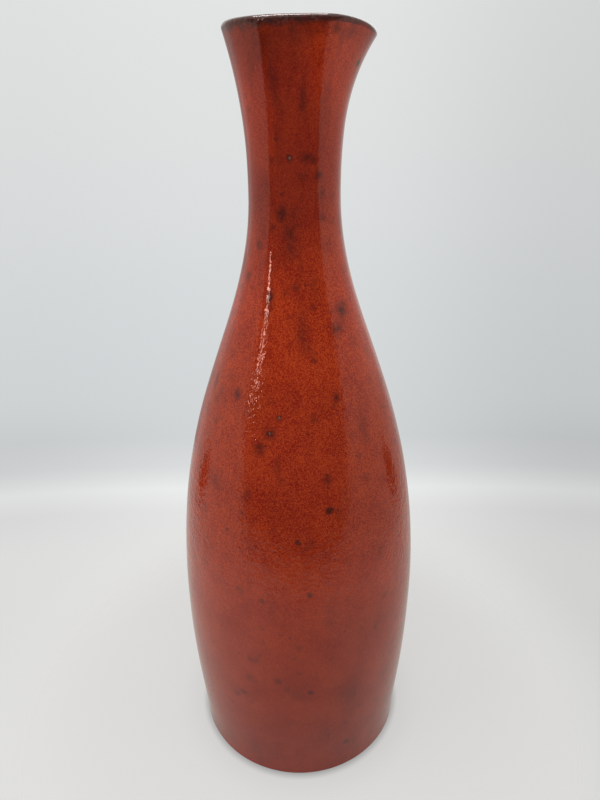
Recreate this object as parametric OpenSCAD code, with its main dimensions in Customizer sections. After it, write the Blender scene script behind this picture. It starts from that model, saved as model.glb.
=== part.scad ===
// Thrown stoneware sake bottle: pear-shaped belly, narrow waisted neck and a flared
// mouth whose rim is drawn out into a shallow pouring lip.
// Millimetres. The origin is the centre of the foot on the ground, +Z up, and the
// pouring lip points along +X.

/* [Bottle] */
// Height of the rim on its plain side
bottle_h = 265; // [240:1:290]
// Radius of the foot where it meets the ground
foot_r = 41.9; // [39:0.1:43]
// Radius of the belly at its widest
belly_r = 45.3; // [44:0.1:48]
// Height of the widest part of the belly
belly_z = 67; // [60:1:80]
// Radius of the neck at its narrowest
waist_r = 14.5; // [13:0.1:16]
// Height of the narrowest part of the neck
waist_z = 220; // [205:1:225]
// Radius of the mouth, to the outside of the lip
mouth_r = 20.4; // [19:0.1:24]
// Outward lean of the wall just below the lip, in degrees
flare_deg = 16.5; // [8:0.5:24]

/* [Wall] */
// Wall thickness at the foot, glazes included
wall_t = 4.6; // [4:0.1:6]
// Wall thickness at the lip, glazes included
lip_t = 2.8; // [2.4:0.1:3.4]
// Thickness of the floor, glaze included
floor_t = 7; // [6:0.1:9]
// Thickness of each coat of glaze
glaze_t = 0.5; // [0.4:0.05:0.7]

/* [Foot] */
// Width of the ring that the bottle stands on
foot_ring_w = 8; // [6:0.5:12]
// Depth of the hollow turned under the foot
foot_hollow = 2.5; // [1.5:0.1:3.5]
// Size of the bevels on the foot ring
foot_bevel = 0.8; // [0.5:0.1:1]

/* [Pouring lip] */
// How far the rim is drawn out at the pouring lip
spout_reach = 3.9; // [1:0.1:6]
// Spread of the pouring lip round the rim, in degrees
spout_spread = 45; // [30:1:60]
// How far the rim dips at the pouring lip
spout_dip = 2.4; // [0:0.1:4]
// Spread of the dip round the rim, in degrees
dip_spread = 29; // [20:1:45]
// How far the rim stands out at the two shoulders beside the pouring lip
shoulder_reach = 1.6; // [0:0.1:3]
// Angle from the pouring lip to each shoulder, in degrees
shoulder_at = 62; // [50:1:75]

/* [Hidden] */
$fn = 96;

// The layers through the wall, from the outside in
SKIN = 0;
CLAY_OUT = 1;
CLAY_IN = 2;
HOLLOW = 3;

// How far each curve of the outline holds its direction at its two ends
foot_hold = 15;
belly_hold_below = 37;
belly_hold_above = 86;
waist_hold_below = 44;
waist_hold_above = 10;
flare_hold = 20;

// Points along each curve, along the wall of the collar and over the lip
curve_steps = 20;
collar_steps = 10;
lip_steps = 8;
corner_steps = 8;
// Facets round the collar
round_steps = 60;

// Stations along the outline: 0 is the ground, 1 the belly, 2 the waist and 3 the lip
clay_from = 0.012;
glaze_from = 0.027;
inside_from = 0.36;
collar_from = 2.38;
lip_at = 3;
// The collar's skirt inside the wall below it: its length in stations, and how far
// it is held back from the faces of the wall
skirt = 0.02;
skirt_inset = 0.04;

// The shape of the pouring lip: how it grows up the collar, and each shoulder's width
spout_growth = 2.3;
dip_growth = 2;
shoulder_spread = 18;

lip_r = lip_t / 2;
lip_centre = [mouth_r - lip_r, bottle_h - lip_r];
lip_start = lip_centre + lip_r * [cos(flare_deg), -sin(flare_deg)];
flare_dir = [sin(flare_deg), cos(flare_deg)];

// The outline as three cubic curves: foot to belly, belly to waist, waist to lip
outline = [
    [[foot_r, 0], [foot_r, foot_hold], [belly_r, belly_z - belly_hold_below], [belly_r, belly_z]],
    [[belly_r, belly_z], [belly_r, belly_z + belly_hold_above], [waist_r, waist_z - waist_hold_below],
     [waist_r, waist_z]],
    [[waist_r, waist_z], [waist_r, waist_z + waist_hold_above], lip_start - flare_hold * flare_dir,
     lip_start],
];

function curve_point(c, t) =
    pow(1 - t, 3) * c[0] + 3 * t * pow(1 - t, 2) * c[1] + 3 * t * t * (1 - t) * c[2] + pow(t, 3) * c[3];

function curve_slope(c, t) =
    pow(1 - t, 2) * (c[1] - c[0]) + 2 * t * (1 - t) * (c[2] - c[1]) + t * t * (c[3] - c[2]);

function curve_at(s) = outline[min(floor(s), 2)];
function local_t(s) = s - min(floor(s), 2);

// Unit vector from the outside into the wall
function inward(s) =
    let (d = curve_slope(curve_at(s), local_t(s)))
    [-d[1], d[0]] / norm(d);

function wall_at(s) = wall_t + (lip_t - wall_t) * s / lip_at;

function depth(s, layer) =
    layer == SKIN ? 0
    : layer == CLAY_OUT ? glaze_t
    : layer == CLAY_IN ? wall_at(s) - glaze_t
    : wall_at(s);

// A point in the wall, as radius and height
function wall_point(s, layer, inset = 0) =
    curve_point(curve_at(s), local_t(s)) + (depth(s, layer) + inset) * inward(s);

// Points up the wall from one station to another
function wall_line(from, to, layer) =
    let (steps = ceil((to - from) * curve_steps))
    [for (i = [0:steps]) wall_point(from + (to - from) * i / steps, layer)];

function reversed(list) = [for (i = [len(list) - 1:-1:0]) list[i]];

// The rounded corner between the inside wall and the floor, running down to the axis
function floor_line(layer) =
    let (
        top = wall_point(inside_from, layer),
        level = layer == HOLLOW ? floor_t : floor_t - glaze_t,
        r = top[1] - level,
        centre = [top[0] - r, level + r]
    )
    concat(
        [for (i = [1:corner_steps]) let (a = -90 * i / corner_steps) centre + r * [cos(a), sin(a)]],
        [[0, level]]
    );

// The underside, from the axis to the wall: the turned hollow and the bevelled foot ring
function foot_line() =
    let (
        outside = wall_point(clay_from, CLAY_OUT)[0],
        inside = outside - foot_ring_w
    )
    [
        [0, foot_hollow],
        [inside - foot_hollow, foot_hollow],
        [inside - foot_bevel / 2, foot_bevel / 2],
        [inside + foot_bevel / 2, 0],
        [outside - foot_bevel, 0],
        [outside - foot_bevel / 4, foot_bevel / 4],
    ];

// Points over the rounded lip, from the outside to the inside
function lip_line(layer) =
    let (r = layer == SKIN ? lip_r : lip_r - glaze_t)
    [for (i = [0:lip_steps])
        let (a = 180 * i / lip_steps - flare_deg)
        lip_centre + r * [cos(a), sin(a)]];

// Points up the collar below the lip, led by two that lie inside the wall below it.
// side is 1 where the layer bounds the solid from outside and -1 from inside.
function collar_line(layer, side) =
    let (first = collar_from + 2 * skirt)
    concat(
        [for (s = [collar_from - skirt, collar_from + skirt]) wall_point(s, layer, side * skirt_inset)],
        [for (i = [0:collar_steps]) wall_point(first + (lip_at - first) * i / collar_steps, layer)]
    );

function all_but_last(list) = [for (i = [0:len(list) - 2]) list[i]];

function bell(angle, spread) = exp(-pow(angle / spread, 2));

// The height where the collar starts to leave the round
spout_from = wall_point(collar_from + 2 * skirt, SKIN)[1];

// How far the rim stands out from a circle at an angle from the pouring lip
function rim_reach(angle) =
    spout_reach * bell(angle, spout_spread)
    + shoulder_reach * (bell(angle - shoulder_at, shoulder_spread) + bell(angle + shoulder_at, shoulder_spread));

// A point of the collar, drawn out and dipped towards the pouring lip
function drawn_out(p, angle) =
    let (
        rise = max(0, (p[1] - spout_from) / (bottle_h - spout_from)),
        r = p[0] + rim_reach(angle) * pow(rise, spout_growth),
        z = p[1] - spout_dip * bell(angle, dip_spread) * pow(rise, dip_growth)
    )
    [r * cos(angle), r * sin(angle), z];

// A solid of the collar: its section carried round the axis, following the drawn-out rim
module collar(section) {
    n = len(section);
    points = [for (i = [0:round_steps - 1], p = section) drawn_out(p, 360 * i / round_steps - 180)];
    faces = [for (i = [0:round_steps - 1], j = [0:n - 1])
        let (
            a = i * n + j,
            b = i * n + (j + 1) % n,
            c = (i + 1) % round_steps * n + (j + 1) % n,
            d = (i + 1) % round_steps * n + j
        )
        each [[a, b, c], [a, c, d]]];
    polyhedron(points, faces);
}

// The fired clay: foot, floor, wall and lip in one piece
module stoneware_body() {
    color("peru") {
        rotate_extrude()
            polygon(concat(
                foot_line(),
                wall_line(clay_from, collar_from, CLAY_OUT),
                reversed(wall_line(inside_from, collar_from, CLAY_IN)),
                floor_line(CLAY_IN)
            ));
        collar(concat(
            all_but_last(collar_line(CLAY_OUT, 1)),
            lip_line(CLAY_OUT),
            reversed(all_but_last(collar_line(CLAY_IN, -1)))
        ));
    }
}

// A coat of glaze between two layers, from a station up to the lip
module glaze_coat(from, outer, inner) {
    rotate_extrude()
        polygon(concat(
            wall_line(from, collar_from, outer),
            reversed(wall_line(from, collar_from, inner))
        ));
    collar(concat(collar_line(outer, 1), reversed(collar_line(inner, -1))));
}

// The red glaze over the outside, which stops just above the ground
module outer_glaze() {
    color("firebrick") glaze_coat(glaze_from, SKIN, CLAY_OUT);
}

// The liner glaze over the inside and the floor
module inner_glaze() {
    color("saddlebrown") {
        glaze_coat(inside_from, CLAY_IN, HOLLOW);
        rotate_extrude()
            polygon(concat(
                [wall_point(inside_from, CLAY_IN)],
                floor_line(CLAY_IN),
                reversed(floor_line(HOLLOW)),
                [wall_point(inside_from, HOLLOW)]
            ));
    }
}

// The thin dark glaze that caps the lip between the other two
module lip_glaze() {
    color("maroon") collar(concat(lip_line(SKIN), reversed(lip_line(CLAY_OUT))));
}

stoneware_body();
outer_glaze();
inner_glaze();
lip_glaze();
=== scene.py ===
"""A thrown stoneware sake bottle: its glazes and clay, and the studio and camera that show it."""
import math
import random

import bmesh
import bpy
import numpy as np
from mathutils import Matrix, Vector, noise


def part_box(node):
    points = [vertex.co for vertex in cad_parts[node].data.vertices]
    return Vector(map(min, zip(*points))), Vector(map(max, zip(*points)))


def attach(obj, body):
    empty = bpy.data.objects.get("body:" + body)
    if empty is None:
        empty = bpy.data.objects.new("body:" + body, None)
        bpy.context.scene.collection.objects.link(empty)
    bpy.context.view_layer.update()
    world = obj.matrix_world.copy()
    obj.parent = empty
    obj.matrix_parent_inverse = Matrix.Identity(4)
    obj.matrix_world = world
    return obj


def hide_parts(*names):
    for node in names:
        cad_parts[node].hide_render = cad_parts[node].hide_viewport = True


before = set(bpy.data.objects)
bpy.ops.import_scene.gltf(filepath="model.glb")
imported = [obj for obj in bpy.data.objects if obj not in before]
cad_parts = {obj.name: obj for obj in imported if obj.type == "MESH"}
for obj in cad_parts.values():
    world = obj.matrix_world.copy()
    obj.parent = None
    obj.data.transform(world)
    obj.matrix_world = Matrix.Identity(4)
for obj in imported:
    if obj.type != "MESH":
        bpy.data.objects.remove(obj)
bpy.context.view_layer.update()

MM = 0.001

# ---------------------------------------------------------------------------
# Driving dimensions, in metres, read from the CAD nodes' boxes
# ---------------------------------------------------------------------------
_, skin_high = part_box("outer_glaze")
_, clay_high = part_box("stoneware_body")
liner_low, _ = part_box("inner_glaze")
rim_low, rim_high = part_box("lip_glaze")

HEIGHT = rim_high.z
BELLY_R = skin_high.y
MOUTH_R = -rim_low.x
FOOT_R = 0.925 * BELLY_R
WAIST_R = 0.32 * BELLY_R
BELLY_Z = 0.2528 * HEIGHT
WAIST_Z = 0.8302 * HEIGHT
GLAZE_T = skin_high.y - clay_high.y
WALL_T = 4.6 * MM
LIP_T = 2.8 * MM
LIP_R = LIP_T / 2
FLOOR_Z = liner_low.z + GLAZE_T
FLARE = math.radians(16.5)

# How far each curve of the outline holds its direction, on leaving and reaching its ends
FOOT_HOLD = 15 * MM
BELOW_BELLY_HOLD = 37 * MM
ABOVE_BELLY_HOLD = 86 * MM
BELOW_WAIST_HOLD = 44 * MM
ABOVE_WAIST_HOLD = 10 * MM
LIP_HOLD = 20 * MM

# The underside
FOOT_RING_W = 8 * MM
FOOT_HOLLOW = 2.5 * MM
FOOT_BEVEL = 0.8 * MM
GROOVE_DEPTH = 0.12 * MM

# How far the hand strays from the round
SLOW_WOBBLE = 0.16 * MM
QUICK_WOBBLE = 0.06 * MM

# Stations along the outline: 0 is the ground, 1 the belly, 2 the waist and 3 the lip
LIP_AT = 3
GLAZE_FROM = 0.027
CLAY_FROM = 0.012
INSIDE_FROM = 0.36
SPOUT_FROM = 2.42

# The pouring lip, which points along +X
SPOUT_REACH = 3.9 * MM
SPOUT_SPREAD = 45
SPOUT_GROWTH = 2.3
SPOUT_DIP = 2.4 * MM
DIP_SPREAD = 29
DIP_GROWTH = 2
SHOULDER_REACH = 1.6 * MM
SHOULDER_AT = 62
SHOULDER_SPREAD = 18

# ---------------------------------------------------------------------------
# Shape
# ---------------------------------------------------------------------------
# Edges that turn by more than this stay crisp
SHARP = math.radians(40)

lip_centre = (MOUTH_R - LIP_R, HEIGHT - LIP_R)
lip_start = (lip_centre[0] + LIP_R * math.cos(FLARE), lip_centre[1] - LIP_R * math.sin(FLARE))


def outline_curves():
    """The outline as three cubic curves: foot to belly, belly to waist, waist to lip."""
    foot = (FOOT_R, 0)
    belly = (BELLY_R, BELLY_Z)
    waist = (WAIST_R, WAIST_Z)
    below_lip = (lip_start[0] - LIP_HOLD * math.sin(FLARE), lip_start[1] - LIP_HOLD * math.cos(FLARE))
    return [
        [foot, (FOOT_R, FOOT_HOLD), (BELLY_R, BELLY_Z - BELOW_BELLY_HOLD), belly],
        [belly, (BELLY_R, BELLY_Z + ABOVE_BELLY_HOLD), (WAIST_R, WAIST_Z - BELOW_WAIST_HOLD), waist],
        [waist, (WAIST_R, WAIST_Z + ABOVE_WAIST_HOLD), below_lip, lip_start],
    ]


OUTLINE = outline_curves()


def wall_point(station, depth):
    """A point at a depth in the wall, as radius and height."""
    part = min(int(station), len(OUTLINE) - 1)
    t = station - part
    a, b, c, d = (np.array(p, float) for p in OUTLINE[part])
    on_skin = (1 - t) ** 3 * a + 3 * t * (1 - t) ** 2 * b + 3 * t * t * (1 - t) * c + t ** 3 * d
    along = (1 - t) ** 2 * (b - a) + 2 * t * (1 - t) * (c - b) + t * t * (d - c)
    inward = np.array((-along[1], along[0])) / np.linalg.norm(along)
    return tuple(on_skin + depth * inward)


def wall_at(station):
    """The thickness of the wall, which thins evenly from the ground to the lip."""
    return WALL_T + (LIP_T - WALL_T) * station / LIP_AT


# How deep each surface lies in the wall, by station
def skin(station):
    return 0.0


def clay_outside(station):
    return GLAZE_T


def clay_inside(station):
    return wall_at(station) - GLAZE_T


def hollow(station):
    return wall_at(station)


def wall_line(start, stop, layer, steps):
    """Points along one layer of the wall, from one station to another."""
    stations = np.linspace(start, stop, steps + 1)
    return [wall_point(s, layer(s)) for s in stations]


def lip_line(radius, steps, start=0.0, stop=180.0):
    """Points over the rounded lip, by angle from its outside to its inside."""
    angles = np.radians(np.linspace(start, stop, steps + 1)) - FLARE
    return [(lip_centre[0] + radius * math.cos(a), lip_centre[1] + radius * math.sin(a)) for a in angles]


def floor_line(layer, level, steps):
    """The rounded corner from the inside wall to the floor, and on to the axis."""
    top = wall_point(INSIDE_FROM, layer(INSIDE_FROM))
    radius = top[1] - level
    centre = (top[0] - radius, level + radius)
    corner = [
        (centre[0] + radius * math.cos(a), centre[1] + radius * math.sin(a))
        for a in np.linspace(0, -math.pi / 2, steps + 1)[1:]
    ]
    return corner + [(corner[-1][0] * k / 4, level) for k in (3, 2, 1, 0)]


def foot_line():
    """The underside: a turned hollow, a soft-edged foot ring and the clay below the glaze."""
    outside = wall_point(CLAY_FROM, GLAZE_T)[0]
    inside = outside - FOOT_RING_W
    bevel = FOOT_BEVEL
    groove = [
        (inside * k / 24, FOOT_HOLLOW + GROOVE_DEPTH * math.cos(math.tau * k / 3)) for k in range(22)
    ]
    ring = [
        (inside - 1.2 * FOOT_HOLLOW, FOOT_HOLLOW), (inside - FOOT_HOLLOW, 0.94 * FOOT_HOLLOW),
        (inside - bevel, bevel), (inside - 0.4 * bevel, 0.3 * bevel), (inside + 0.3 * bevel, 0),
        (outside - bevel, 0), (outside - 0.4 * bevel, 0.1 * bevel), (outside - 0.1 * bevel, 0.4 * bevel),
    ]
    return groove + ring


def bell(angle, spread):
    """A soft hump: 1 at an angle of 0, and less than half beyond the spread."""
    return np.exp(-(angle / spread) ** 2)


def rim_reach(angle):
    """How far the rim stands out from a circle, by angle in degrees from the pouring lip."""
    shoulders = bell(angle - SHOULDER_AT, SHOULDER_SPREAD) + bell(angle + SHOULDER_AT, SHOULDER_SPREAD)
    return SPOUT_REACH * bell(angle, SPOUT_SPREAD) + SHOULDER_REACH * shoulders


# The height at which the pouring lip starts
spout_z = wall_point(SPOUT_FROM, 0)[1]


def hand_wobble(angle, z):
    """How far the thrown wall strays from the round at a place, inwards or outwards."""
    a = math.radians(angle)
    slow = noise.noise(Vector((1.1 * math.cos(a), 1.1 * math.sin(a), z / (55 * MM))))
    quick = noise.noise(Vector((2.6 * math.cos(a) + 9, 2.6 * math.sin(a), z / (17 * MM))))
    return SLOW_WOBBLE * slow + QUICK_WOBBLE * quick


def shaped(section, around):
    """Carries a section round the axis, following the drawn-out rim and the hand's wobble."""
    r = np.array([p[0] for p in section])
    z = np.array([p[1] for p in section])
    rise = np.clip((z - spout_z) / (HEIGHT - spout_z), 0, None)
    rings = []
    for i in range(around):
        angle = 360 * i / around - 180
        wobble = np.array([hand_wobble(angle, h) for h in z]) * np.clip(r / WAIST_R, 0, 1)
        out = r + rim_reach(angle) * rise ** SPOUT_GROWTH + wobble
        up = z - SPOUT_DIP * bell(angle, DIP_SPREAD) * rise ** DIP_GROWTH
        a = math.radians(angle)
        rings.append(np.stack([out * math.cos(a), out * math.sin(a), up], 1))
    return np.array(rings)


def lathe(name, section, around):
    """A closed surface, made by carrying a closed section round the axis."""
    rings = shaped(section, around)
    n = len(section)
    faces = []
    for i in range(around):
        here, there = i * n, (i + 1) % around * n
        for j in range(n):
            k = (j + 1) % n
            faces.append((here + j, there + j, there + k, here + k))
    mesh = bpy.data.meshes.new(name)
    mesh.from_pydata(rings.reshape(-1, 3).tolist(), [], faces)
    mesh.validate()
    piece = bpy.data.objects.new(name, mesh)
    bpy.context.scene.collection.objects.link(piece)
    return piece


def weld(piece):
    """Joins the points that meet on the axis, turns the faces outwards and shades them smooth."""
    touching = 0.002 * MM
    bm = bmesh.new()
    bm.from_mesh(piece.data)
    bmesh.ops.remove_doubles(bm, verts=bm.verts, dist=touching)
    bmesh.ops.dissolve_degenerate(bm, dist=touching / 4, edges=bm.edges)
    bmesh.ops.recalc_face_normals(bm, faces=bm.faces)
    for face in bm.faces:
        face.smooth = True
    for edge in bm.edges:
        edge.smooth = not edge.is_manifold or edge.calc_face_angle() < SHARP
    bm.to_mesh(piece.data)
    bm.free()
    return piece


# ---------------------------------------------------------------------------
# Shader helper
# ---------------------------------------------------------------------------
class Graph:
    """Adds shader nodes to a tree and joins them."""

    def __init__(self, tree):
        self.tree = tree
        tree.nodes.clear()

    def add(self, kind, values=None, **settings):
        made = self.tree.nodes.new(kind)
        for key, value in settings.items():
            setattr(made, key, value)
        for socket, value in (values or {}).items():
            self.feed(made, socket, value)
        return made

    def feed(self, node, socket, value):
        if isinstance(value, bpy.types.NodeSocket):
            self.tree.links.new(value, node.inputs[socket])
        else:
            node.inputs[socket].default_value = value

    def math(self, operation, a, b=0.0, clamp=False):
        return self.add("ShaderNodeMath", {0: a, 1: b}, operation=operation, use_clamp=clamp).outputs[0]

    def times(self, first, *others):
        """The product of some values."""
        for value in others:
            first = self.math("MULTIPLY", first, value)
        return first

    def plus(self, first, *others):
        """The sum of some values."""
        for value in others:
            first = self.math("ADD", first, value)
        return first

    def parts(self, vector):
        """The X, Y and Z of a vector."""
        return self.add("ShaderNodeSeparateXYZ", {0: vector}).outputs

    def stored(self, name):
        """A value stored at the mesh's points."""
        return self.add("ShaderNodeAttribute", attribute_name=name).outputs["Fac"]

    def scaled(self, vector, x, y, z):
        made = self.add("ShaderNodeVectorMath", {0: vector, 1: (x, y, z)}, operation="MULTIPLY")
        return made.outputs[0]

    def noise(self, vector, size, detail=2.0, rough=0.5, twist=0.0):
        """Noise from 0 to 1 whose features are about size across, in the vector's unit."""
        made = self.add(
            "ShaderNodeTexNoise",
            {"Vector": vector, "Scale": 1 / size, "Detail": detail, "Roughness": rough, "Distortion": twist},
        )
        return made.outputs[0]

    def swing(self, vector, size, reach, detail=2.0, rough=0.5):
        """Noise about zero, which strays up to about half its reach each way."""
        return self.times(self.math("SUBTRACT", self.noise(vector, size, detail, rough), 0.5), reach)

    def step(self, value, low, high, to_low=0.0, to_high=1.0):
        """A smooth change of value from low to high."""
        made = self.add(
            "ShaderNodeMapRange",
            {"Value": value, "From Min": low, "From Max": high, "To Min": to_low, "To Max": to_high},
            interpolation_type="SMOOTHSTEP",
        )
        return made.outputs[0]

    def ramp(self, value, stops):
        """A colour that changes evenly between stops, each a place from 0 to 1 and a colour."""
        made = self.add("ShaderNodeValToRGB", {"Fac": value})
        points = made.color_ramp.elements
        while len(points) < len(stops):
            points.new(0.5)
        for point, (place, colour) in zip(points, stops):
            point.position = place
            point.color = (*colour, 1)
        return made.outputs[0]

    def mix(self, factor, a, b, blend="MIX"):
        made = self.add("ShaderNodeMix", data_type="RGBA", blend_type=blend)
        self.feed(made, 0, factor)
        self.feed(made, 6, a if isinstance(a, bpy.types.NodeSocket) else (*a, 1))
        self.feed(made, 7, b if isinstance(b, bpy.types.NodeSocket) else (*b, 1))
        return made.outputs[2]


def new_material(name):
    """A material, its empty graph and the place on the object in millimetres."""
    material = bpy.data.materials.new(name)
    material.use_nodes = True
    graph = Graph(material.node_tree)
    place = graph.add("ShaderNodeTexCoord").outputs["Object"]
    return material, graph, graph.scaled(place, 1 / MM, 1 / MM, 1 / MM)


def finish_material(graph, colour, roughness, relief, **fixed):
    """The Principled shader with its colour and roughness, and its relief in millimetres."""
    bump = graph.add("ShaderNodeBump", {"Height": relief, "Strength": 1.0, "Distance": MM})
    shader = graph.add(
        "ShaderNodeBsdfPrincipled",
        {"Base Color": colour, "Roughness": roughness, "Normal": bump.outputs[0], **fixed},
    )
    graph.add("ShaderNodeOutputMaterial", {"Surface": shader.outputs[0]})


# ---------------------------------------------------------------------------
# The main marks in the glaze, to the nearest 5 degrees and 5 mm: degrees round from
# the front towards the spout, and millimetres above the ground
# ---------------------------------------------------------------------------
# Broad lighter and darker areas, partly the glaze's own and partly painted light and shade: angle, height,
# half width, half length, strength
TONES_LIGHT_AND_SHADE = [
    (30, 255, 10, 10, 0.42), (-60, 220, 12, 17, -0.25), (-60, 260, 14, 11, -0.32),
    (-5, 250, 8, 12, -0.15), (-10, 260, 9, 6, -0.20), (50, 265, 8, 5, 0.25),
    (50, 190, 10, 16, 0.10), (20, 190, 5, 7, -0.14), (-55, 170, 16, 24, -0.13),
    (-25, 160, 5, 8, -0.14), (-10, 125, 6, 8, -0.12), (15, 100, 18, 9, 0.05), (35, 75, 10, 8, -0.13),
]
# Soft iron stains, and first a broad painted shade down the neck's front: angle, height, half width, half
# length, strength
STAINS_AND_SHADE = [
    # The first entry is painted shade, darkening the neck's front
    (-5, 230, 9.0, 34, 0.22), (-20, 250, 1.6, 5.0, 0.45), (10, 245, 1.4, 4.5, 0.50),
    (0, 260, 2.2, 1.6, 0.35), (-25, 260, 3.0, 2.5, 0.35), (15, 230, 2.2, 1.5, 0.75),
    (10, 225, 1.7, 1.3, 0.45), (30, 225, 1.5, 1.5, 0.80), (35, 220, 1.3, 1.8, 0.60),
    (-15, 215, 1.7, 1.9, 0.90), (0, 215, 1.8, 1.1, 0.45), (-45, 215, 1.7, 8.0, 0.25),
    (-5, 210, 2.8, 3.0, 0.50), (-5, 205, 2.6, 4.2, 0.50), (40, 205, 3.0, 3.0, 0.25),
    (-45, 205, 1.2, 1.3, 0.85), (-55, 195, 1.2, 1.3, 0.85), (-25, 190, 1.2, 2.4, 0.95),
    (-25, 185, 1.0, 1.8, 0.70), (45, 185, 2.6, 2.6, 1.00), (35, 180, 2.8, 1.9, 0.80),
    (5, 180, 1.8, 6.0, 0.55), (50, 175, 1.6, 2.2, 0.35), (-65, 160, 1.0, 3.0, 1.00),
    (-40, 160, 1.2, 1.6, 0.90), (25, 160, 1.2, 1.3, 0.90), (-15, 150, 2.0, 1.7, 1.00),
    (-20, 145, 2.0, 1.7, 1.05), (40, 150, 2.2, 4.0, 0.40), (-10, 140, 1.2, 2.4, 0.60),
    (15, 135, 1.2, 2.0, 0.90), (-25, 130, 1.2, 2.4, 0.75), (-45, 130, 3.6, 3.2, 0.45),
    (25, 45, 5.0, 8.0, 0.25), (100, 170, 2.4, 3.0, 0.80), (150, 120, 2.0, 2.0, 0.70),
    (-120, 150, 2.2, 2.6, 0.80), (-160, 190, 1.8, 3.0, 0.70), (75, 95, 1.8, 1.6, 0.60),
    (-95, 80, 2.0, 1.6, 0.60),
]
# Round specks: angle, height, radius, strength
SPECKS = [
    (15, 125, 2.1, 1.0), (0, 115, 1.6, 0.8), (-35, 115, 1.1, 0.7), (5, 95, 1.6, 0.75), (5, 50, 1.8, 0.75),
    (25, 15, 1.8, 0.8), (-20, 235, 0.9, 0.6), (-15, 220, 0.9, 0.6), (70, 255, 1.7, 1.0), (25, 160, 0.9, 0.6),
]
# Pinholes with a pale floor: angle, height, radius
PINHOLES = [
    (-5, 230, 1.0), (-10, 155, 0.9), (-15, 150, 0.7), (120, 160, 1.0), (-100, 130, 1.0), (-170, 95, 1.0),
    (170, 215, 0.9),
]


def small_stains():
    """Small soft stains scattered all round the bottle by seeded dice, in the form of STAINS_AND_SHADE."""
    dice = random.Random(4)
    stains = []
    for _ in range(150):
        angle = dice.uniform(-180, 180)
        height = dice.uniform(40, 215)
        half_width = dice.uniform(1.1, 1.5)
        half_length = dice.uniform(1.1, 1.7)
        stains.append((angle, height, half_width, half_length, dice.uniform(0.3, 0.6)))
    return stains


def on_skin(angle, height):
    """The point of the glaze at an angle from the front and a height, in millimetres."""
    stations = np.linspace(0, LIP_AT, 600)
    line = np.array([wall_point(s, 0) for s in stations]) / MM
    rise = max(height * MM - spout_z, 0) / (HEIGHT - spout_z)
    r = np.interp(height, line[:, 1], line[:, 0]) + rim_reach(angle - 90) / MM * rise ** SPOUT_GROWTH
    z = height - SPOUT_DIP / MM * bell(angle - 90, DIP_SPREAD) * rise ** DIP_GROWTH
    a = math.radians(angle)
    return r * math.sin(a), -r * math.cos(a), z


# ---------------------------------------------------------------------------
# Materials. Inside them lengths are in millimetres.
# ---------------------------------------------------------------------------
def specks(graph, place, cell, chance, small, large, soft):
    """Round iron specks: at most one to a cell, with a size of its own."""
    voronoi = graph.add("ShaderNodeTexVoronoi", {"Vector": place, "Scale": 1 / cell, "Randomness": 1.0})
    luck = graph.add("ShaderNodeSeparateColor", {0: voronoi.outputs["Color"]})
    away = graph.times(voronoi.outputs["Distance"], cell)
    reach = graph.step(luck.outputs[0], 1 - chance, 1.0, small, large)
    there = graph.step(luck.outputs[0], 1 - chance, 1 - chance + 0.02)
    mark = graph.step(graph.math("DIVIDE", away, reach), soft, 1.0, 1.0, 0.0)
    strength = graph.step(luck.outputs[1], 0.0, 1.0, 0.45, 1.0)
    return graph.times(mark, there, strength)


def distance(graph, place, angle, height, radius):
    """How far a mark on the glaze is, in radii of the mark."""
    away = graph.add("ShaderNodeVectorMath", {0: place, 1: on_skin(angle, height)}, operation="DISTANCE")
    return graph.math("DIVIDE", away.outputs["Value"], radius)


def greatest(graph, values):
    """The greatest of some values at each place."""
    top = values[0]
    for value in values[1:]:
        top = graph.math("MAXIMUM", top, value)
    return top


def wandering(graph, place, reach):
    """A place moved by a vector noise, up to about half its reach each way."""
    by = graph.add("ShaderNodeTexNoise", {"Vector": place, "Scale": 0.8}).outputs["Color"]
    middle = (0.5, 0.5, 0.5)
    centred = graph.add("ShaderNodeVectorMath", {0: by, 1: middle}, operation="SUBTRACT").outputs[0]
    shift = graph.scaled(centred, reach, reach, reach)
    return graph.add("ShaderNodeVectorMath", {0: place, 1: shift}, operation="ADD").outputs[0]


def rim_shade(graph, place, colour):
    """Darkens the glaze where it has run thin at the rim."""
    depth = graph.plus(graph.stored("below_lip"), graph.swing(place, 2.0, 4.0, 3, 0.6))
    thin = graph.step(depth, 1.0, 4.2, 0.94, 0.0)
    mottle = graph.step(graph.noise(place, 0.8, 2), 0.48, 0.68)
    colour = graph.mix(thin, colour, graph.mix(mottle, (0.038, 0.017, 0.013), (0.085, 0.045, 0.036)))
    runs = graph.noise(graph.scaled(place, 1, 1, 0.3), 3.2, 3)
    smoke = graph.times(graph.step(depth, 2.0, 14.0, 0.50, 0.0), graph.step(runs, 0.40, 0.70))
    return graph.mix(smoke, colour, (0.10, 0.016, 0.011))


def red_base(graph, place, height):
    """The red glaze before its marks: its drift with height and its broad lighter and darker areas, partly
    painted light and shade.
    """
    drift = graph.swing(place, 30, 22, 3)
    base = graph.ramp(
        graph.math("DIVIDE", graph.plus(height, drift), HEIGHT / MM),
        [
            (0.00, (0.345, 0.032, 0.013)),
            (0.17, (0.385, 0.037, 0.013)),
            (0.29, (0.405, 0.039, 0.013)),
            (0.35, (0.424, 0.041, 0.013)),
            (0.45, (0.405, 0.039, 0.012)),
            (0.51, (0.410, 0.039, 0.011)),
            (0.60, (0.410, 0.039, 0.010)),
            (0.64, (0.460, 0.044, 0.010)),
            (0.72, (0.475, 0.044, 0.010)),
            (0.77, (0.405, 0.037, 0.010)),
            (0.82, (0.350, 0.031, 0.010)),
            (0.87, (0.390, 0.034, 0.010)),
            (0.93, (0.440, 0.039, 0.011)),
            (1.00, (0.400, 0.037, 0.011)),
        ],
    )
    # The broad areas, partly painted light and shade, multiply the colour
    return graph.mix(1.0, base, graph.plus(graph.stored("tone_light_and_shade"), 1.0), "MULTIPLY")


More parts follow.
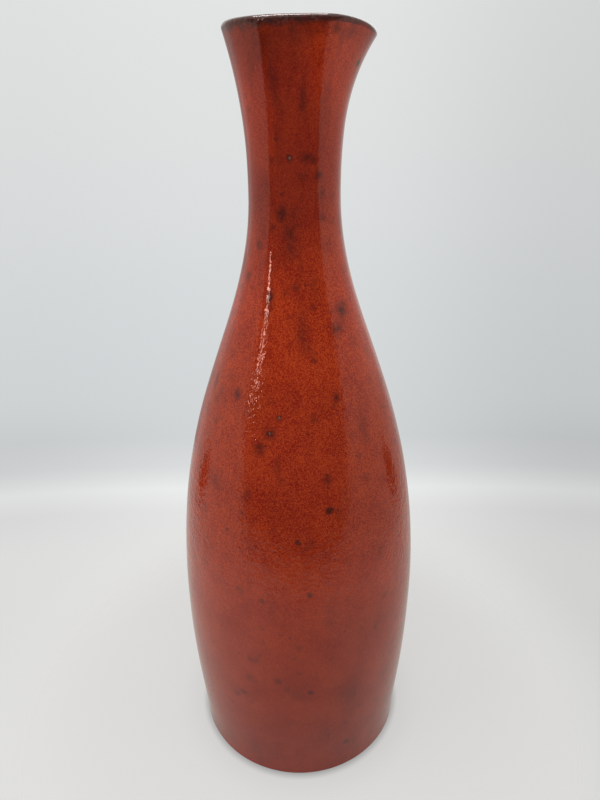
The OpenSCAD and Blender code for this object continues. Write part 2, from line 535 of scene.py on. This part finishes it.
def grained(graph, place, height, base):
    """Breaks the glaze up into grains, with dark pepper, and most plainly on the shoulder."""
    focus = graph.ramp(
        graph.math("DIVIDE", height, HEIGHT / MM),
        [
            (0.22, (0.24,) * 3),
            (0.38, (0.42,) * 3),
            (0.48, (0.95,) * 3),
            (0.70, (1.00,) * 3),
            (0.77, (0.70,) * 3),
            (0.86, (0.42,) * 3),
        ],
    )
    grain = graph.swing(place, 0.38, 2.1, 2, 0.6)
    granules = graph.swing(place, 1.0, 0.5, 2, 0.6)
    patches = graph.swing(place, 5.0, 0.40, 3, 0.6)
    clouds = graph.swing(place, 12, 0.30, 3)
    uneven = graph.times(graph.plus(grain, granules, patches), focus)
    shade = graph.step(graph.plus(uneven, clouds), -0.24, 0.24)
    dark = graph.mix(1.0, base, (0.66, 0.42, 0.6), "MULTIPLY")
    bright = graph.mix(1.0, base, (1.22, 1.52, 1.25), "MULTIPLY")
    pepper = graph.times(specks(graph, place, 1.5, 0.6, 0.18, 0.40, 0.2), focus, 0.40)
    return graph.mix(pepper, graph.mix(shade, dark, bright), (0.10, 0.012, 0.007))


def streaked(graph, place, height, colour):
    """Dark runs down the glaze, strongest on the neck."""
    runs = graph.step(graph.noise(graph.scaled(place, 1, 1, 0.12), 4.5, 3), 0.50, 0.72)
    on_neck = graph.step(height, 175, 215, 0.12, 0.42)
    return graph.mix(graph.times(runs, on_neck), colour, (0.13, 0.012, 0.006))


def stained_and_shaded(graph, place, height, colour):
    """The soft iron stains and the painted shade down the neck's front, ragged at their edges and stronger
    on the lower half.
    """
    ragged = graph.step(graph.noise(place, 1.6, 3, 0.6), 0.25, 0.75, 0.6, 1.4)
    lower = graph.step(height, 105, 125, 1.5, 1.0)
    strength = graph.times(graph.stored("stain_and_shade"), graph.times(ragged, lower))
    return graph.mix(graph.math("MULTIPLY", strength, 0.85, clamp=True), colour, (0.085, 0.014, 0.009))


def specked(graph, place, near, colour):
    """Iron specks of three sizes scattered all over, and those of SPECKS, with their strength."""
    bent = wandering(graph, place, 1.6)
    each = [
        graph.times(specks(graph, bent, 14, 0.7, 1.8, 4.2, 0.0), 0.32),
        graph.times(specks(graph, bent, 6, 0.7, 0.8, 1.9, 0.1), 0.55),
        graph.times(specks(graph, bent, 3.2, 0.35, 0.4, 0.8, 0.1), 0.70),
    ]
    for angle, level, radius, strength in SPECKS:
        away = distance(graph, near, angle, level, radius)
        each.append(graph.step(away, 0.25, 1.0, strength, 0.0))
    marks = greatest(graph, each)
    return graph.mix(graph.times(marks, 0.90), colour, (0.060, 0.013, 0.009)), marks


def pinholed(graph, near, colour):
    """Pinholes with a dark ring round a pale floor, and how far into one each place is."""
    each = [
        graph.math("SUBTRACT", 3.0, distance(graph, near, angle, level, radius))
        for angle, level, radius in PINHOLES
    ]
    holes = greatest(graph, each)
    colour = graph.mix(graph.step(holes, 1.4, 2.5, 0.0, 0.65), colour, (0.050, 0.014, 0.010))
    colour = graph.mix(graph.step(holes, 2.4, 2.75, 0.0, 0.75), colour, (0.19, 0.125, 0.090))
    return colour, holes


def red_relief(graph, place, height, marks, holes):
    """Orange peel, swirls and ripples, strongest at the belly, with dimples at marks and holes."""
    at_belly = graph.times(graph.step(height, 76, 98, 0.6, 1.9), graph.step(height, 112, 140, 1.0, 0.60))
    crinkle = graph.times(at_belly, graph.step(height, 160, 200, 1.0, 0.28))
    peel = graph.times(graph.noise(place, 1.2, 1, 0.5, 0.8), 0.055)
    swirl = graph.times(graph.noise(place, 2.4, 1, 0.5, 1.4), 0.085)
    ripple = graph.times(graph.noise(place, 4.5, 1), 0.090)
    relief = graph.times(graph.plus(peel, swirl, ripple), crinkle)
    return graph.plus(relief, graph.step(holes, 2.1, 2.7, 0.0, -0.12), graph.times(marks, -0.02))


def red_glaze():
    material, graph, place = new_material("iron_red_glaze")
    height = graph.parts(place)[2]
    near = wandering(graph, place, 1.0)
    colour = grained(graph, place, height, red_base(graph, place, height))
    colour = streaked(graph, place, height, colour)
    colour = stained_and_shaded(graph, place, height, colour)
    colour, marks = specked(graph, place, near, colour)
    colour, holes = pinholed(graph, near, colour)
    colour = rim_shade(graph, place, colour)
    relief = red_relief(graph, place, height, marks, holes)
    rough = graph.step(graph.noise(place, 6, 2), 0.2, 0.8, 0.03, 0.07)
    finish_material(graph, colour, rough, relief, IOR=1.5)
    return material


def lip_glaze():
    material, graph, place = new_material("dark_lip_glaze")
    patches = graph.step(graph.noise(place, 1.6, 3), 0.35, 0.7)
    colour = graph.mix(patches, (0.12, 0.016, 0.009), (0.30, 0.030, 0.010))
    colour = rim_shade(graph, place, colour)
    rough = graph.step(graph.noise(place, 0.9, 2), 0.2, 0.8, 0.05, 0.12)
    relief = graph.times(graph.noise(place, 1.0, 2), 0.09)
    finish_material(graph, colour, rough, relief, IOR=1.5)
    return material


def liner_glaze():
    material, graph, place = new_material("liner_glaze")
    patches = graph.step(graph.noise(place, 3.5, 4), 0.3, 0.7)
    colour = graph.mix(patches, (0.085, 0.013, 0.007), (0.17, 0.020, 0.008))
    rough = graph.step(graph.noise(place, 5, 2), 0.2, 0.8, 0.08, 0.16)
    relief = graph.times(graph.noise(place, 1.5, 2), 0.06)
    finish_material(graph, colour, rough, relief, IOR=1.5)
    return material


def fired_clay():
    material, graph, place = new_material("fired_stoneware")
    sand = graph.step(graph.noise(place, 0.35, 2), 0.3, 0.7)
    # The clay is a dark brown, partly as painted shade along the foot's edge where it meets the floor
    colour = graph.mix(sand, (0.10, 0.055, 0.036), (0.19, 0.11, 0.07))
    iron = specks(graph, place, 3, 0.5, 0.1, 0.35, 0.3)
    colour = graph.mix(iron, colour, (0.03, 0.015, 0.01))
    rough = graph.step(graph.noise(place, 1.2, 2), 0.2, 0.8, 0.72, 0.9)
    relief = graph.times(graph.noise(place, 0.4, 3), 0.10)
    finish_material(graph, colour, rough, relief, IOR=1.45)
    return material


# ---------------------------------------------------------------------------
# Pieces
# ---------------------------------------------------------------------------
# How many times each section is repeated round the axis
AROUND = 288


def store(piece, name, values):
    """Stores a value at each point of a piece, for its material to read."""
    layer = piece.data.attributes.new(name, "FLOAT", "POINT")
    layer.data.foreach_set("value", values.astype(np.float32))


def store_rim(piece):
    """Stores how far below the rim's crest each point lies, in millimetres, stretched at the spout."""
    co = np.array([v.co for v in piece.data.vertices])
    angle = np.degrees(np.arctan2(co[:, 1], co[:, 0]))
    crest = HEIGHT - SPOUT_DIP * bell(angle, DIP_SPREAD)
    quicker = 1 + 1.5 * bell(angle, 1.4 * SPOUT_SPREAD)
    store(piece, "below_lip", (crest - co[:, 2]) / MM * quicker)


def store_marks(piece, name, marks):
    """Stores the sum of some soft marks at each point, each with a strength of its own."""
    co = np.array([v.co for v in piece.data.vertices]) / MM
    angle = np.degrees(np.arctan2(co[:, 0], -co[:, 1]))
    radius = np.hypot(co[:, 0], co[:, 1])
    total = np.zeros(len(co))
    for mark_angle, height, width, length, strength in marks:
        turn = (angle - mark_angle + 180) % 360 - 180
        across = np.radians(turn) * radius / width
        along = (co[:, 2] - height) / length
        total += strength * np.exp(-across ** 2 - along ** 2)
    store(piece, name, total)


def glaze_outside():
    section = wall_line(GLAZE_FROM, LIP_AT, skin, 290)
    section += reversed(wall_line(GLAZE_FROM, LIP_AT, clay_outside, 40))
    piece = weld(lathe("red_glaze_coat", section, AROUND))
    store_rim(piece)
    # The stains carry the painted shade on the neck's front as well
    store_marks(piece, "stain_and_shade", STAINS_AND_SHADE + small_stains())
    store_marks(piece, "tone_light_and_shade", TONES_LIGHT_AND_SHADE)
    piece.data.materials.append(red_glaze())
    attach(piece, "root")
    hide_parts("outer_glaze")


def glaze_lip():
    section = lip_line(LIP_R, 22)
    section += reversed(lip_line(LIP_R - GLAZE_T, 10))
    piece = weld(lathe("lip_glaze_coat", section, AROUND))
    store_rim(piece)
    piece.data.materials.append(lip_glaze())
    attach(piece, "root")
    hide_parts("lip_glaze")


def glaze_inside():
    section = wall_line(INSIDE_FROM, LIP_AT, clay_inside, 50)
    section += reversed(wall_line(INSIDE_FROM, LIP_AT, hollow, 160))
    section += floor_line(hollow, FLOOR_Z, 10)
    section += reversed(floor_line(clay_inside, FLOOR_Z - GLAZE_T, 10))
    piece = weld(lathe("liner_glaze_coat", section, AROUND // 2))
    piece.data.materials.append(liner_glaze())
    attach(piece, "root")
    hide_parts("inner_glaze")


def clay_body():
    section = foot_line()
    section += wall_line(CLAY_FROM, LIP_AT, clay_outside, 60)
    section += lip_line(LIP_R - GLAZE_T, 10)[1:-1]
    section += reversed(wall_line(INSIDE_FROM, LIP_AT, clay_inside, 50))
    section += floor_line(clay_inside, FLOOR_Z - GLAZE_T, 10)
    piece = weld(lathe("fired_clay_body", section, AROUND))
    piece.data.materials.append(fired_clay())
    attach(piece, "root")
    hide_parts("stoneware_body")


# ---------------------------------------------------------------------------
# Studio: a pale sheet in a small light tent that is open at the front
# ---------------------------------------------------------------------------
TENT_X = 0.22
TENT_BACK = 0.25
TENT_TOP = 0.60
CEILING_X = 0.45
CEILING_Y = 0.35
FLOOR_FRONT = -0.45
FLOOR_BACK = 0.70
FLOOR_SIDE = 0.70

# How far a side wall goes on below and above the middle of its front edge, and towards the back
WALL_BELOW = 0.26
WALL_ABOVE = 0.50
WALL_DEPTH = 0.50

# The camera: places in heights of the object, angles in degrees and its lens in millimetres
CAMERA_RIGHT = 0.0042
CAMERA_FRONT = 0.78
CAMERA_UP = 0.919
LOOKS_DOWN = 25.1
CAMERA_ROLL = -0.52
SENSOR = 36
LENS = 28.27


def panel(name, centre, size, facing, radiance, tint=(1.0, 1.0, 1.0)):
    """A soft light panel that the camera doesn't see."""
    light = bpy.data.lights.new(name, "AREA")
    light.shape = "RECTANGLE"
    light.size, light.size_y = size
    light.energy = radiance * math.pi * size[0] * size[1]
    light.color = tint
    made = bpy.data.objects.new(name, light)
    turn = Vector(facing).to_track_quat("-Z", "Y").to_matrix().to_4x4()
    made.matrix_world = Matrix.Translation(centre) @ turn
    made.visible_camera = False
    bpy.context.scene.collection.objects.link(made)
    return made


def staged_sheet(name, corners):
    """A flat sheet of the studio with a shader tree of its own, and its place in metres."""
    mesh = bpy.data.meshes.new(name)
    mesh.from_pydata([tuple(c) for c in corners], [], [tuple(range(len(corners)))])
    sheet = bpy.data.objects.new(name, mesh)
    bpy.context.scene.collection.objects.link(sheet)
    material = bpy.data.materials.new(name)
    material.use_nodes = True
    mesh.materials.append(material)
    graph = Graph(material.node_tree)
    place = graph.add("ShaderNodeTexCoord").outputs["Object"]
    return sheet, material, graph, place


def light_sheet(name, corners, glow, shown):
    """A one-sided sheet that glows evenly, and has a brightness of its own in reflections."""
    sheet, _, graph, place = staged_sheet(name, corners)
    sheet.visible_camera = False
    sheet.visible_shadow = False
    reflected = graph.add("ShaderNodeLightPath").outputs["Is Glossy Ray"]
    colour = graph.mix(reflected, (glow, glow, glow), shown(graph, place))
    front = graph.math("SUBTRACT", 1.0, graph.add("ShaderNodeNewGeometry").outputs["Backfacing"])
    light = graph.add("ShaderNodeEmission", {"Color": colour, "Strength": front})
    graph.add("ShaderNodeOutputMaterial", {"Surface": light.outputs[0]})


def painted_contact_shadow(graph, away):
    """A painted shadow: how far the paper's colour and glow are darkened where it meets the foot."""
    from_foot = graph.math("SUBTRACT", away, FOOT_R)
    return graph.times(
        graph.step(from_foot, -0.001, 0.0028, 0.62, 1.0), graph.step(from_foot, 0.0, 0.014, 0.95, 1.0)
    )


def painted_paper_reflection(graph, x, y, away):
    """A painted reflection of the paper: a set glow, pale round the object and dark towards the open front,
    that reflected rays see in place of the lit paper.
    """
    beside = graph.step(graph.math("ABSOLUTE", x), 0.02, 0.08, 0.46, 0.57)
    lit_side = graph.step(x, -0.20, 0.10, 1.10, 0.92)
    into_dark = graph.step(y, -0.34, -0.15)
    far = graph.step(away, 0.15, 0.40, 1.0, 0.78)
    level = graph.times(graph.times(beside, lit_side), graph.times(into_dark, far))
    return graph.add("ShaderNodeEmission", {"Color": (1.03, 0.98, 0.90, 1), "Strength": level})


def floor():
    """The paper the object stands on, which fades into the backdrop to the camera. To the camera it glows
    evenly, with a painted shadow round the foot.
    """
    corners = [
        (-FLOOR_SIDE, FLOOR_FRONT, 0), (FLOOR_SIDE, FLOOR_FRONT, 0),
        (FLOOR_SIDE, FLOOR_BACK, 0), (-FLOOR_SIDE, FLOOR_BACK, 0),
    ]
    _, material, graph, place = staged_sheet("floor", corners)
    material.cycles.emission_sampling = "NONE"
    x, y, _ = graph.parts(place)
    path = graph.add("ShaderNodeLightPath").outputs
    seen = path["Is Camera Ray"]
    away = graph.add("ShaderNodeVectorMath", {0: place}, operation="LENGTH").outputs["Value"]
    # Painted shadow round the foot, which darkens both the paper's colour and its glow
    painted_shadow = painted_contact_shadow(graph, away)
    seen_paper = graph.mix(1.0, (0.22, 0.22, 0.216), painted_shadow, "MULTIPLY")
    colour = graph.mix(seen, (0.50, 0.50, 0.49), seen_paper)
    paper = graph.add("ShaderNodeBsdfDiffuse", {"Color": colour})
    glow = graph.times(seen, 0.55, painted_shadow)
    lift = graph.add("ShaderNodeEmission", {"Color": (1.0, 1.0, 0.985, 1), "Strength": glow})
    lit = graph.add("ShaderNodeAddShader", {0: paper.outputs[0], 1: lift.outputs[0]})
    # Reflected rays see the painted reflection instead of the lit paper
    painted_reflection = painted_paper_reflection(graph, x, y, away)
    both = graph.add(
        "ShaderNodeMixShader", {0: path["Is Glossy Ray"], 1: lit.outputs[0], 2: painted_reflection.outputs[0]}
    )
    fade = graph.times(graph.step(away, 0.085, 0.165), seen)
    clear = graph.add("ShaderNodeBsdfTransparent")
    whole = graph.add("ShaderNodeMixShader", {0: fade, 1: both.outputs[0], 2: clear.outputs[0]})
    graph.add("ShaderNodeOutputMaterial", {"Surface": whole.outputs[0]})


def sweep_level(graph, x, y, z):
    """How steeply a direction rises, measured to a tent of rounded square plan."""
    across = graph.math("POWER", graph.math("ABSOLUTE", x), 4)
    along = graph.math("POWER", graph.math("ABSOLUTE", y), 4)
    return graph.math("DIVIDE", z, graph.math("POWER", graph.plus(across, along), 0.25))


def side_shade(graph, x, level):
    """How the sweep darkens towards its sides, and a little more along the low band at its foot."""
    left = graph.step(x, -0.42, -0.10, 0.96, 1.0)
    right = graph.step(x, 0.05, 0.42, 1.0, 0.85)
    band = graph.times(graph.step(level, -0.60, -0.45, 1.0, 0.0), graph.step(level, -0.80, -0.68, 0.3, 1.0))
    low_sides = graph.times(band, graph.step(graph.math("ABSOLUTE", x), 0.15, 0.45, 0.0, 0.09))
    return graph.times(left, right, graph.math("SUBTRACT", 1.0, low_sides))


def backdrop():
    """The world: a pale sweep to the camera, and a dim room to reflections."""
    world = bpy.data.worlds.new("studio")
    bpy.context.scene.world = world
    world.use_nodes = True
    graph = Graph(world.node_tree)
    x, y, z = graph.parts(graph.add("ShaderNodeTexCoord").outputs["Generated"])
    level = sweep_level(graph, x, y, z)
    sweep = graph.ramp(
        graph.add("ShaderNodeMapRange", {"Value": level, "From Min": -0.80, "From Max": 0.20}).outputs[0],
        [
            (0.00, (0.775, 0.775, 0.765)),
            (0.10, (0.775, 0.780, 0.775)),
            (0.15, (0.840, 0.850, 0.850)),
            (0.20, (0.700, 0.715, 0.720)),
            (0.26, (0.640, 0.660, 0.666)),
            (0.38, (0.660, 0.680, 0.690)),
            (0.55, (0.690, 0.710, 0.720)),
            (0.75, (0.735, 0.750, 0.750)),
            (1.00, (0.775, 0.785, 0.780)),
        ],
    )
    sweep = graph.mix(1.0, sweep, side_shade(graph, x, level), "MULTIPLY")
    seen = graph.add("ShaderNodeLightPath").outputs["Is Camera Ray"]
    colour = graph.mix(seen, (0.05, 0.05, 0.07), sweep)
    light = graph.add("ShaderNodeBackground", {"Color": colour, "Strength": 1.0})
    graph.add("ShaderNodeOutputWorld", {"Surface": light.outputs[0]})


def wall(name, side, lean, edge, glow, low_level, back_level):
    """A side wall of the tent: its front edge leans back by an angle as it rises."""
    lean = math.radians(lean)
    edge = Vector((side * TENT_X, *edge))
    up = Vector((0, math.sin(lean), math.cos(lean)))
    back = WALL_DEPTH * Vector((0, math.cos(lean), -math.sin(lean)))
    low, high = edge - WALL_BELOW * up, edge + WALL_ABOVE * up
    corners = [low, high, high + back, low + back]
    if side < 0:
        corners.reverse()

    def shown(graph, place):
        _, y, z = graph.parts(place)
        by_height = graph.step(z, 0.10, 0.17, low_level, 0.60)
        by_depth = graph.step(y, 0.10, 0.20, 1.0, back_level)
        tint = graph.mix(graph.step(z, 0.10, 0.19), (1.0, 0.98, 0.86), (1.0, 0.84, 0.78))
        tint = graph.mix(graph.step(y, 0.08, 0.20), tint, (1.0, 0.98, 0.95))
        return graph.mix(1.0, tint, graph.times(by_height, by_depth), "MULTIPLY")

    light_sheet(name, corners, glow, shown)


def back_wall():
    outline = ((-TENT_X, 0), (TENT_X, 0), (TENT_X, TENT_TOP), (-TENT_X, TENT_TOP))
    corners = [(x, TENT_BACK, z) for x, z in outline]

    def shown(graph, place):
        x, _, z = graph.parts(place)
        by_side = graph.step(x, -0.15, 0.15, 0.45, 0.66)
        low = graph.step(z, 0.0, 0.16, 0.75, 1.0)
        high = graph.step(z, 0.26, 0.32, 1.0, 2.2)
        return graph.mix(1.0, (1.0, 0.98, 0.94), graph.times(by_side, low, high), "MULTIPLY")

    light_sheet("back_wall", corners, 0.33, shown)


def ceiling():
    outline = (
        (-CEILING_X, -CEILING_Y), (-CEILING_X, CEILING_Y), (CEILING_X, CEILING_Y), (CEILING_X, -CEILING_Y)
    )
    corners = [(x, y, TENT_TOP) for x, y in outline]
    light_sheet("ceiling", corners, 0.9, lambda graph, place: (0.90, 0.88, 0.86))


def card(name, centre, size):
    """A small dark slanted card that stands before a wall and shows only in reflections."""
    x, y, z = centre
    half_y, half_z = size[0] / 2, size[1] / 2
    slant = 0.5 * half_z
    corners = [
        (x, y + half_y * math.cos(turn) - slant * math.sin(turn), z + half_z * math.sin(turn))
        for turn in np.linspace(0, math.tau, 20, endpoint=False)
    ]
    sheet, _, graph, _ = staged_sheet(name, corners)
    sheet.visible_camera = False
    black = graph.add("ShaderNodeBsdfDiffuse", {"Color": (0.02, 0.02, 0.02, 1)})
    graph.add("ShaderNodeOutputMaterial", {"Surface": black.outputs[0]})


def overhead_lights():
    """Broad soft light from above, which isn't itself seen in the glaze."""
    front = panel("front_top", (0, -0.45, 0.62), (0.60, 0.35), (0, 0.70, -0.62), 2.2)
    front.visible_glossy = False
    for side in (-1, 1):
        centre = (side * 0.50, -0.15, 0.58)
        light = panel(f"side_top_{side}", centre, (0.40, 0.40), (-side * 0.5, 0.12, -0.42), 2.0)
        light.visible_glossy = False


def highlights():
    """The glint along the lip, and the bright streak down the shoulder from a strip far off."""
    rim_light = panel("rim_light", (-0.045, 0.05, 0.59), (0.30, 0.12), (0, 0, -1), 14.0, (1.0, 0.86, 0.84))
    rim_light.visible_diffuse = False
    far_place = (-0.825, -0.575, 0.534)
    panel("far_strip", far_place, (0.030, 0.444), (0.825, 0.575, -0.25), 22.0, (1.0, 0.55, 0.45))


def lights():
    wall("left_wall", -1, 24, (-0.128, 0.188), 0.62, 0.52, 1.08)
    wall("right_wall", 1, 30, (-0.141, 0.192), 0.52, 0.39, 0.95)
    back_wall()
    ceiling()
    overhead_lights()
    highlights()
    card("left_card", (-0.215, 0.053, 0.062), (0.050, 0.068))
    card("right_card", (0.215, 0.050, 0.066), (0.062, 0.066))


def camera():
    data = bpy.data.cameras.new("camera")
    data.sensor_fit = "AUTO"
    data.sensor_width = SENSOR
    data.lens = LENS
    made = bpy.data.objects.new("camera", data)
    place = Matrix.Translation((CAMERA_RIGHT * HEIGHT, -CAMERA_FRONT * HEIGHT, CAMERA_UP * HEIGHT))
    pitch = Matrix.Rotation(math.radians(90 - LOOKS_DOWN), 4, "X")
    roll = Matrix.Rotation(math.radians(CAMERA_ROLL), 4, "Z")
    made.matrix_world = place @ pitch @ roll
    bpy.context.scene.collection.objects.link(made)
    bpy.context.scene.camera = made


glaze_outside()
glaze_lip()
glaze_inside()
clay_body()
floor()
backdrop()
lights()
camera()
bpy.context.scene.view_settings.view_transform = "Standard"
